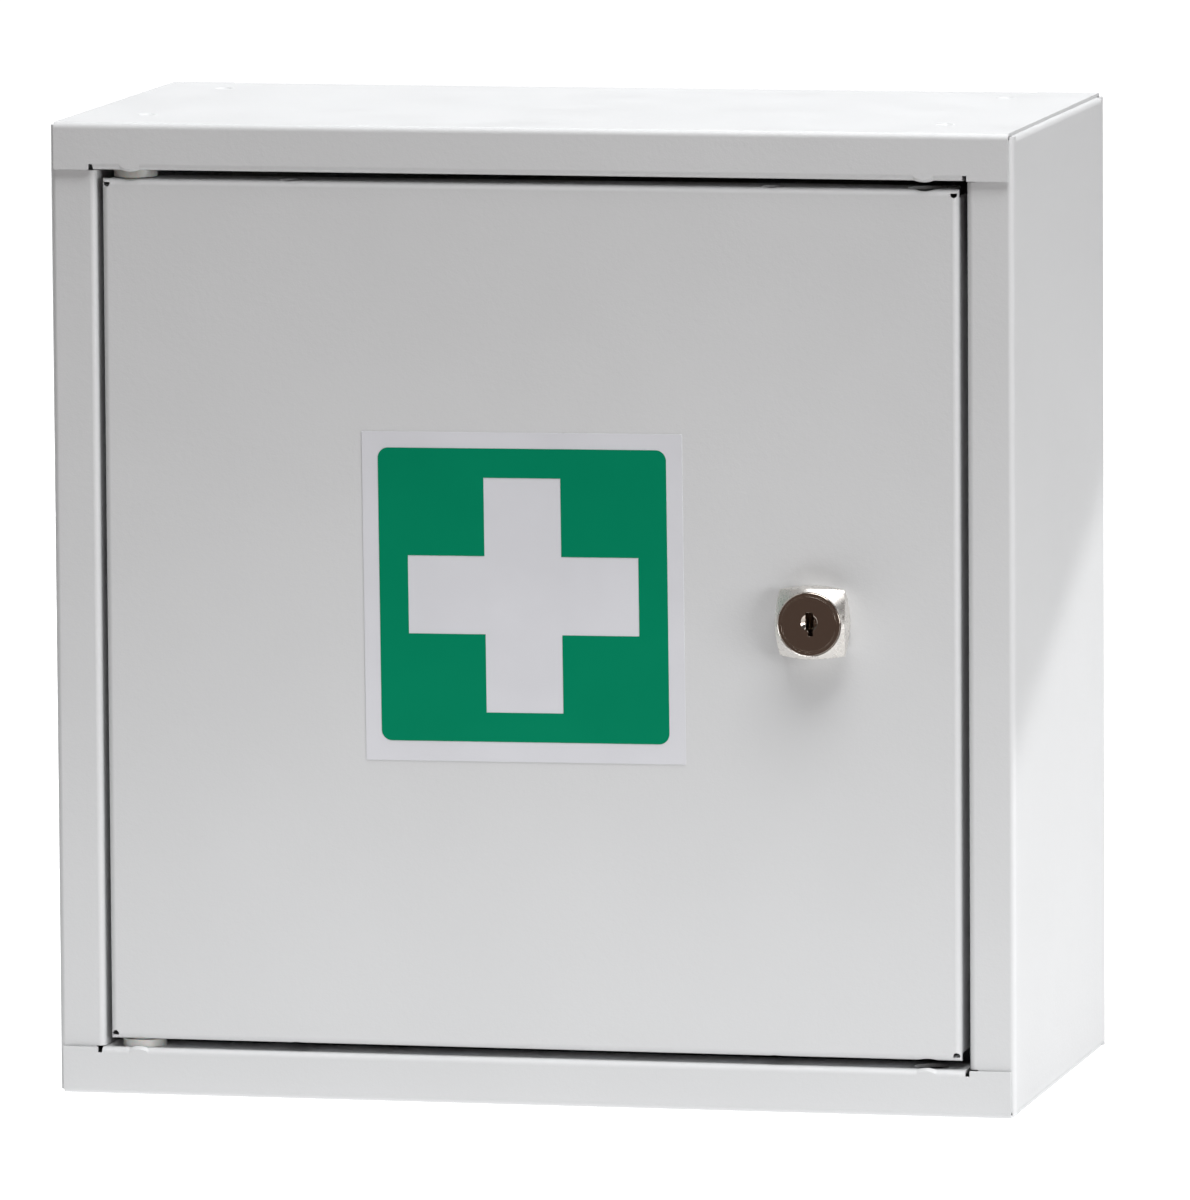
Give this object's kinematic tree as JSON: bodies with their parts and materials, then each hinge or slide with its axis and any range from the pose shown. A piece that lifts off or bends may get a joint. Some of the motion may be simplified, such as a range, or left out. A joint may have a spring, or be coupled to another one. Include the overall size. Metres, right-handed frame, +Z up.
{
  "type": "lockable medicine cabinet",
  "caption": "Small lockable steel wall cabinet for medicines, with a side-hung door, a square-headed cam lock and an inner shelf.",
  "frame": {"origin": "centre of the cabinet's underside, on the surface that it stands on", "axes": "+X to the right as seen from the front, +Y to the back and into the wall, +Z up"},
  "size_m": [0.3, 0.1583, 0.3],
  "materials": {
    "powder_coat": "light grey powder coat, satin, fine orange peel",
    "nylon": "natural nylon",
    "buffer_pad": "grey soft pad",
    "satin_nickel": "satin nickel plate",
    "polished_nickel": "polished nickel plate",
    "zinc_steel": "zinc plated steel",
    "wafer_brass": "plain",
    "sticker_white": "semi-gloss vinyl",
    "sticker_green": "printed ink, semi-gloss"
  },
  "bodies": {
    "cabinet": {"left_side_panel": "powder_coat", "right_side_panel": "powder_coat", "top_panel": "powder_coat", "bottom_panel": "powder_coat", "back_panel": "powder_coat", "left_shelf_rail": "powder_coat", "right_shelf_rail": "powder_coat", "shelf": "powder_coat", "lock_keeper": "powder_coat", "door_buffers": "buffer_pad", "upper_pivot_bush": "nylon", "lower_pivot_bush": "nylon"},
    "door": {"door_panel": "powder_coat", "upper_pivot_pin": "nylon", "lower_pivot_pin": "nylon", "lock_housing": "satin_nickel", "tooth_washer": "zinc_steel", "lock_nut": "zinc_steel", "label_sticker": "sticker_white", "label_field": "sticker_green"},
    "lock_core": {"lock_plug": "polished_nickel", "lock_wafers": "wafer_brass", "wafer_springs": "zinc_steel", "lock_cam": "zinc_steel", "cam_washer": "zinc_steel", "cam_screw": "zinc_steel"}
  },
  "joints": [
    {"name": "door_hinge", "type": "hinge", "parent": "cabinet", "child": "door", "pos_m": [-0.1246, -0.0668, 0.15], "axis": [0, 0, -1], "range_deg": [0, 110]},
    {"name": "lock_turn", "type": "hinge", "parent": "door", "child": "lock_core", "pos_m": [0.0885, -0.0736, 0.1512], "axis": [0, 1, 0], "range_deg": [0, 90]}
  ]
}
